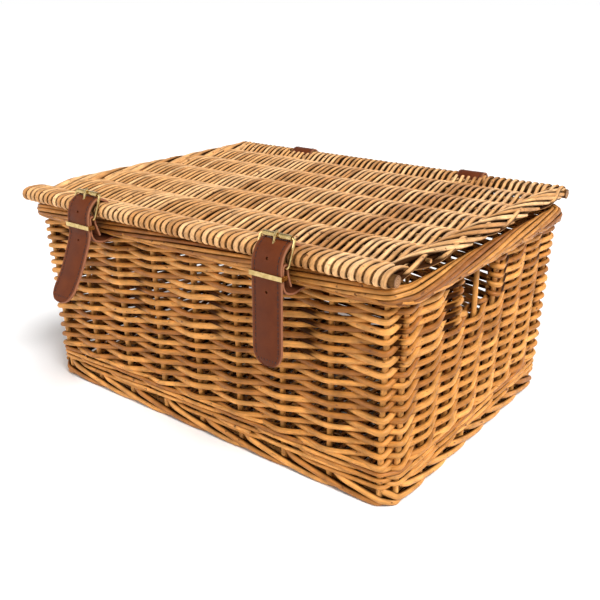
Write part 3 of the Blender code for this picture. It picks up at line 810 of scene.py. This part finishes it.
def lay_lid_borders(willow, random):
    """Rods twisted along each end of the lid, from the front stick to the back stick."""
    bundle = Bundle("lid_side_borders")
    for side in (-1, 1):
        middle = side * LID_BORDER_X
        for number in range(12):
            start = -LID_STICK_Y - 0.004 + number * LID_BORDER_PITCH
            end = min(start + LID_BORDER_REACH, LID_STICK_Y + 0.003)
            if end - start < 0.03:
                continue
            ys = np.linspace(start, end, 36)
            share = (ys - start) / LID_BORDER_REACH
            turned = random.uniform(-12, 12)
            angle = np.radians(200 + turned - share * 235)
            x = middle + side * 0.0072 * np.cos(angle)
            z = LID_STICK_Z + 0.0003 + 0.0052 * np.sin(angle)
            radius = (0.0035 - 0.0018 * share) * random.uniform(0.90, 1.08)
            path = soften(np.stack([x, ys, z], 1))
            facing = angle if side > 0 else math.pi - angle
            bundle.rod(path, radius, random.uniform(0.2, 1.0), facing=facing)
        # a middle rod under the border rods, painted fully dark as shade
        ys = np.linspace(-LID_STICK_Y, LID_STICK_Y, 40)
        core = np.stack([np.full(40, middle), ys, np.full(40, LID_STICK_Z - 0.001)], 1)
        bundle.rod(core, 0.0026, 0.1, shade=1.0)
    bundle.build([willow], "lid", ["lid_border_left", "lid_border_right"], "lid_willow")


# ---- leather and brass


def smooth_path(points, steps=5):
    """A smooth curve through the given (y, z) places."""
    places = [Vector(p) for p in points]
    ends = [2 * places[0] - places[1]] + places + [2 * places[-1] - places[-2]]
    path = []
    for a, b, c, d in zip(ends, ends[1:], ends[2:], ends[3:]):
        for step in range(steps):
            t = step / steps
            bend = (2 * a - 5 * b + 4 * c - d) * t**2 + (3 * b - a - 3 * c + d) * t**3
            path.append((2 * b + (c - a) * t + bend) / 2)
    path.append(places[-1])
    return path


def arc_path(centre, radius, start, end, steps):
    """Points on an arc, from one angle in degrees to another."""
    angles = np.radians(np.linspace(start, end, steps + 1))
    return [Vector(centre) + radius * Vector((math.cos(a), math.sin(a))) for a in angles]


class Strip:
    """A leather strip that follows a path of (y, z) places; its width lies along x."""

    def __init__(self, path, middle_x, half_width, thickness, tip=0.0, closed=False):
        even = np.array([tuple(p) for p in path], float)
        if closed:
            even = np.concatenate([even, even[:1]])
        self.line = resample(np.pad(even, ((0, 0), (1, 0))), 0.0012)[:, 1:]
        if closed:
            self.line = self.line[:-1]
        self.closed = closed
        self.x, self.half, self.thick, self.tip = middle_x, half_width, thickness, tip
        if closed:
            tangent = np.roll(self.line, -1, 0) - np.roll(self.line, 1, 0)
        else:
            tangent = np.gradient(self.line, axis=0)
        tangent /= np.linalg.norm(tangent, axis=1)[:, None]
        self.normal = np.stack([tangent[:, 1], -tangent[:, 0]], 1)
        self.along = lengths_along(np.pad(self.line, ((0, 0), (1, 0))))
        self.rest = self.along[-1] - self.along

    def half_at(self, rest):
        """Half the strip's width at a distance from its end: the tip is rounded."""
        if self.tip and rest < self.tip:
            return self.half * (0.16 + 0.84 * math.sqrt(max(0.0, 1 - (1 - rest / self.tip) ** 2)))
        return self.half

    def place(self, index, x, depth):
        """A place on the strip: x from its middle line and depth out of its face."""
        y, z = self.line[index] + self.normal[index] * depth
        return (self.x + x, y, z)

    def section(self, index):
        """The outline across the strip: flat faces with rubbed round edges."""
        half, thin = self.half_at(self.rest[index]), self.thick / 2
        bevel, groove_width, groove_depth = 0.0006, 0.0007, 0.00028
        groove = half - GROOVE_INSET
        right = [
            (groove - groove_width, thin, 0.0),
            (groove, thin - groove_depth, 0.0),
            (groove + groove_width, thin, 0.0),
            (half - bevel * 1.6, thin, 0.12),
            (half - bevel * 0.4, thin - bevel * 0.35, 0.8),
            (half, 0.0, 1.0),
            (half - bevel * 0.4, -thin + bevel * 0.35, 0.8),
            (half - bevel * 1.6, -thin, 0.2),
        ]
        left = [(-x, depth, edge) for x, depth, edge in reversed(right)]
        return right + left

    def build(self, name, materials, stitched, holes=()):
        """Makes the piece, with its holes at the given heights and its stitches."""
        bm = bmesh.new()
        edge_layer = bm.verts.layers.float.new("edge")
        rings = []
        for index in range(len(self.line)):
            ring = []
            for x, depth, edge in self.section(index):
                vertex = bm.verts.new(self.place(index, x, depth))
                vertex[edge_layer] = edge
                ring.append(vertex)
            rings.append(ring)
        for near, far in zip(rings, rings[1:] + (rings[:1] if self.closed else [])):
            for side, corner in enumerate(near):
                other = (side + 1) % len(near)
                bm.faces.new((corner, near[other], far[other], far[side]))
        if not self.closed:
            bm.faces.new(rings[0][::-1])
            bm.faces.new(rings[-1])
        bmesh.ops.recalc_face_normals(bm, faces=bm.faces)
        mesh = bpy.data.meshes.new(name)
        bm.to_mesh(mesh)
        bm.free()
        mesh.shade_smooth()
        mesh.set_sharp_from_angle(angle=math.radians(55))
        for material in materials:
            mesh.materials.append(material)
        piece = add_object(name, mesh)
        for height in holes:
            self.punch(piece, height)
        if stitched:
            self.stitch(piece)
        return piece

    def punch(self, piece, height):
        """Cuts a round hole straight through the hanging part of the strip at a height."""
        hanging = self.line[:, 0] < STRAP_FRONT_Y
        distance = np.where(hanging, np.abs(self.line[:, 1] - height), np.inf)
        index = int(np.argmin(distance))
        place = Matrix.Translation(self.place(index, 0.0, 0.0))
        normal = Vector((0.0, *self.normal[index]))
        bm = bmesh.new()
        bmesh.ops.create_cone(
            bm, cap_ends=True, segments=20, radius1=HOLE_RADIUS, radius2=HOLE_RADIUS, depth=0.008
        )
        turn = normal.to_track_quat("Z", "Y").to_matrix().to_4x4()
        bmesh.ops.transform(bm, matrix=place @ turn, verts=bm.verts)
        cutter_mesh = bpy.data.meshes.new("hole")
        bm.to_mesh(cutter_mesh)
        bm.free()
        cutter = add_object("hole", cutter_mesh)
        cut = piece.modifiers.new("hole", "BOOLEAN")
        cut.operation, cut.solver, cut.object = "DIFFERENCE", "EXACT", cutter
        bpy.context.view_layer.update()
        graph = bpy.context.evaluated_depsgraph_get()
        result = bpy.data.meshes.new_from_object(piece.evaluated_get(graph))
        piece.modifiers.clear()
        piece.data = result
        bpy.data.objects.remove(cutter, do_unlink=True)

    def stitch(self, piece):
        """Lays thread in both grooves, and across the tip if there is one."""
        spots = []
        end = len(self.line) - 1
        last = self.along[-1] - (self.tip * 0.62 if self.tip else 0.002)
        for distance in np.arange(0.003, last, STITCH_PITCH):
            index = int(np.searchsorted(self.along, distance))
            if index >= end:
                break
            half = self.half_at(self.rest[index]) - GROOVE_INSET
            spots += [(index, half), (index, -half)]
        if self.tip:
            index = end - int(np.searchsorted(self.rest[::-1], self.tip * 0.36))
            half = self.half_at(self.rest[index]) - GROOVE_INSET
            spots += [(index, share * half) for share in np.linspace(-1, 1, 7)]
        stretch = Matrix.Diagonal((0.8, 0.8, 2.0, 1.0))
        bm = bmesh.new()
        bm.from_mesh(piece.data)
        for index, x in spots:
            near = Vector(self.place(index, x, self.thick / 2 - 0.00012))
            ahead = Vector(self.place(min(index + 2, end), x, self.thick / 2))
            turn = (ahead - near).normalized().to_track_quat("Z", "Y").to_matrix().to_4x4()
            matrix = Matrix.Translation(near) @ turn @ stretch
            made = bmesh.ops.create_icosphere(bm, subdivisions=1, radius=STITCH_RADIUS)
            bmesh.ops.transform(bm, matrix=matrix, verts=made["verts"])
            for vertex in made["verts"]:
                for face in vertex.link_faces:
                    face.material_index = 1
                    face.smooth = True
        bm.to_mesh(piece.data)
        bm.free()


def strap_line(side):
    """From under the lid, up through the weave, over the front stick and down the front."""
    under = [(-0.1280, 0.1993), (-0.1465, 0.1993), (-0.1503, 0.2000), (-0.1532, 0.2032)]
    up = [(-0.1562, 0.2068), (-0.1588, 0.2113), (-0.1613, 0.2152), (-0.1645, 0.2178)]
    over = [(-0.1715, 0.2205), (-0.1765, 0.2190), (-0.1808, 0.2152), (-0.1842, 0.2092)]
    tail = [(-0.1857, 0.2025)]
    if side == "right":
        tail += [(-0.1856, 0.1900), (-0.1858, 0.1600), (-0.1862, 0.1170)]
    else:  # the left strap's end stands away from the wall
        tail += [(-0.1857, 0.1920), (-0.1860, 0.1855), (-0.1905, 0.1735)]
        tail += [(-0.2010, 0.1510), (-0.2170, 0.1270)]
    return under + up + over + tail


def add_closure(side, materials):
    """The strap, and the chape that holds the buckle."""
    x = STRAP_X if side == "right" else -STRAP_X
    path = smooth_path(strap_line(side))
    strap = Strip(path, x, STRAP_HALF_WIDTH, STRAP_THICKNESS, tip=STRAP_TIP)
    piece = strap.build(side + "_strap_leather", materials, True, STRAP_HOLES)
    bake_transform(piece)
    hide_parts(side + "_strap", side + "_strap_anchor")

    low_bar = (-0.1805, 0.2025)
    back = smooth_path([(-0.1735, 0.1858), (-0.1757, 0.1920), (-0.1779, 0.1990)], 4)
    fold = arc_path(low_bar, 0.0026, 0, 180, 10)
    down = [(-0.1831, 0.1990), (-0.1831, 0.1880), (-0.1800, 0.1823), (-0.1745, 0.1795)]
    into_wall = [(-0.1685, 0.1788), (-0.1625, 0.1797), (-0.1560, 0.1800), (-0.1450, 0.1795)]
    path = back + fold + smooth_path(down + into_wall)
    chape = Strip(path, x, LOOP_HALF_WIDTH, LOOP_THICKNESS)
    piece = chape.build(side + "_chape_leather", materials, False)
    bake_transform(piece)
    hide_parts(side + "_chape", side + "_chape_root")


def add_hinge_loop(side, materials):
    """The leather loop round the lid's back stick and the rim."""
    x = STRAP_X if side == "right" else -STRAP_X
    axis = (LID_STICK_Y, LID_STICK_Z)
    path = arc_path(axis, 0.0092, 0, 180, 16)
    path += [Vector((0.1512, 0.2015)), Vector((0.1512, 0.1823))]
    path += arc_path((0.1530, 0.1823), 0.0018, 205, 270, 3)
    path += arc_path((0.1756, 0.1823), 0.0018, 270, 350, 4)
    loop = Strip(path, x, LOOP_HALF_WIDTH, LOOP_THICKNESS, closed=True)
    piece = loop.build(side + "_hinge_leather", materials, True)
    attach(piece, "basket")
    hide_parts(side + "_hinge_loop")


# ---- the stage


def aim_along(holder, back):
    """Turns a camera or a light so that it looks away from the direction back."""
    holder.rotation_euler = back.to_track_quat("Z", "Y").to_euler()


def place_camera():
    """In front of the right front corner and above it."""
    camera = bpy.data.cameras.new("camera")
    camera.lens = 47.2
    camera.sensor_width = 36.0
    camera.clip_start = 0.01
    holder = add_object("camera", camera)
    azimuth, elevation, distance = math.radians(37.65), math.radians(21.18), 0.8197
    target = Vector((0.0236, -0.0236, 0.1031))
    level = math.cos(elevation)
    back = Vector((math.sin(azimuth) * level, -math.cos(azimuth) * level, math.sin(elevation)))
    holder.location = target + back * distance
    aim_along(holder, back)
    bpy.context.scene.camera = holder


def make_world():
    """White round the horizon, so that the floor has no edge, and grey overhead."""
    world = bpy.data.worlds.new("studio")
    world.use_nodes = True
    nodes, links = world.node_tree.nodes, world.node_tree.links
    split = nodes.new("ShaderNodeSeparateXYZ")
    links.new(nodes.new("ShaderNodeTexCoord").outputs["Generated"], split.inputs[0])
    sky = ramp(nodes, links, split.outputs["Z"], [(0.34, grey(1.0)), (0.52, grey(0.40))])
    links.new(sky, nodes["Background"].inputs[0])
    nodes["Background"].inputs[1].default_value = 1.0
    bpy.context.scene.world = world


def lay_floor():
    mesh = bpy.data.meshes.new("floor")
    half = 30.0
    corners = [(-half, -half, 0), (half, -half, 0), (half, half, 0), (-half, half, 0)]
    mesh.from_pydata(corners, [], [(0, 1, 2, 3)])
    material, _, _, shader = new_material("pale_floor")
    shader.inputs["Base Color"].default_value = (*grey(0.92), 1.0)
    shader.inputs["Roughness"].default_value = 0.9
    mesh.materials.append(material)
    floor = add_object("floor", mesh)


def add_lights():
    """A broad sun from the front right and a weak round lamp from the front left."""
    sun = bpy.data.lights.new("key", "SUN")
    sun.energy = 3.3
    sun.angle = math.radians(22)
    aim_along(add_object("key", sun), Vector((0.56, -0.20, 0.82)))
    lamp = bpy.data.lights.new("fill", "AREA")
    lamp.shape = "DISK"
    lamp.size = 0.9
    lamp.energy = 5.0
    holder = add_object("fill", lamp)
    holder.location = (-1.4, -1.6, 1.1)
    aim_along(holder, holder.location - Vector((0.0, 0.0, 0.1)))


def main():
    place_camera()
    make_world()
    bpy.context.scene.view_settings.view_transform = "Standard"
    lay_floor()
    add_lights()
    random = np.random.default_rng(7)
    willow = willow_material(
        "honey_willow", (0.80, 0.375, 0.100), (0.59, 0.245, 0.050), (0.29, 0.092, 0.015)
    )
    lid_willow = willow_material(
        "pale_lid_willow", (0.90, 0.53, 0.245), (0.71, 0.355, 0.125), (0.42, 0.170, 0.045)
    )
    leather = leather_material("strap_leather", (0.096, 0.020, 0.0045), (0.132, 0.030, 0.0075))
    thread = thread_material()
    brass = brass_material()

    stand_stakes(willow, random)
    weave_walls(willow, random)
    weave_wale(willow, random)
    lay_foot(willow, random)
    lay_rim(willow, random)
    weave_base(willow, random)
    weave_lid(lid_willow, end_grain_material(), random)
    lay_lid_borders(lid_willow, random)
    for side in ("left", "right"):
        add_closure(side, [leather, thread])
        add_hinge_loop(side, [leather, thread])
        for part in ("buckle_frame", "buckle_roller", "buckle_prong", "strap_keeper"):
            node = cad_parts[side + "_" + part]
            for material_slot in node.material_slots:
                material_slot.material = brass

    bpy.context.view_layer.update()


main()
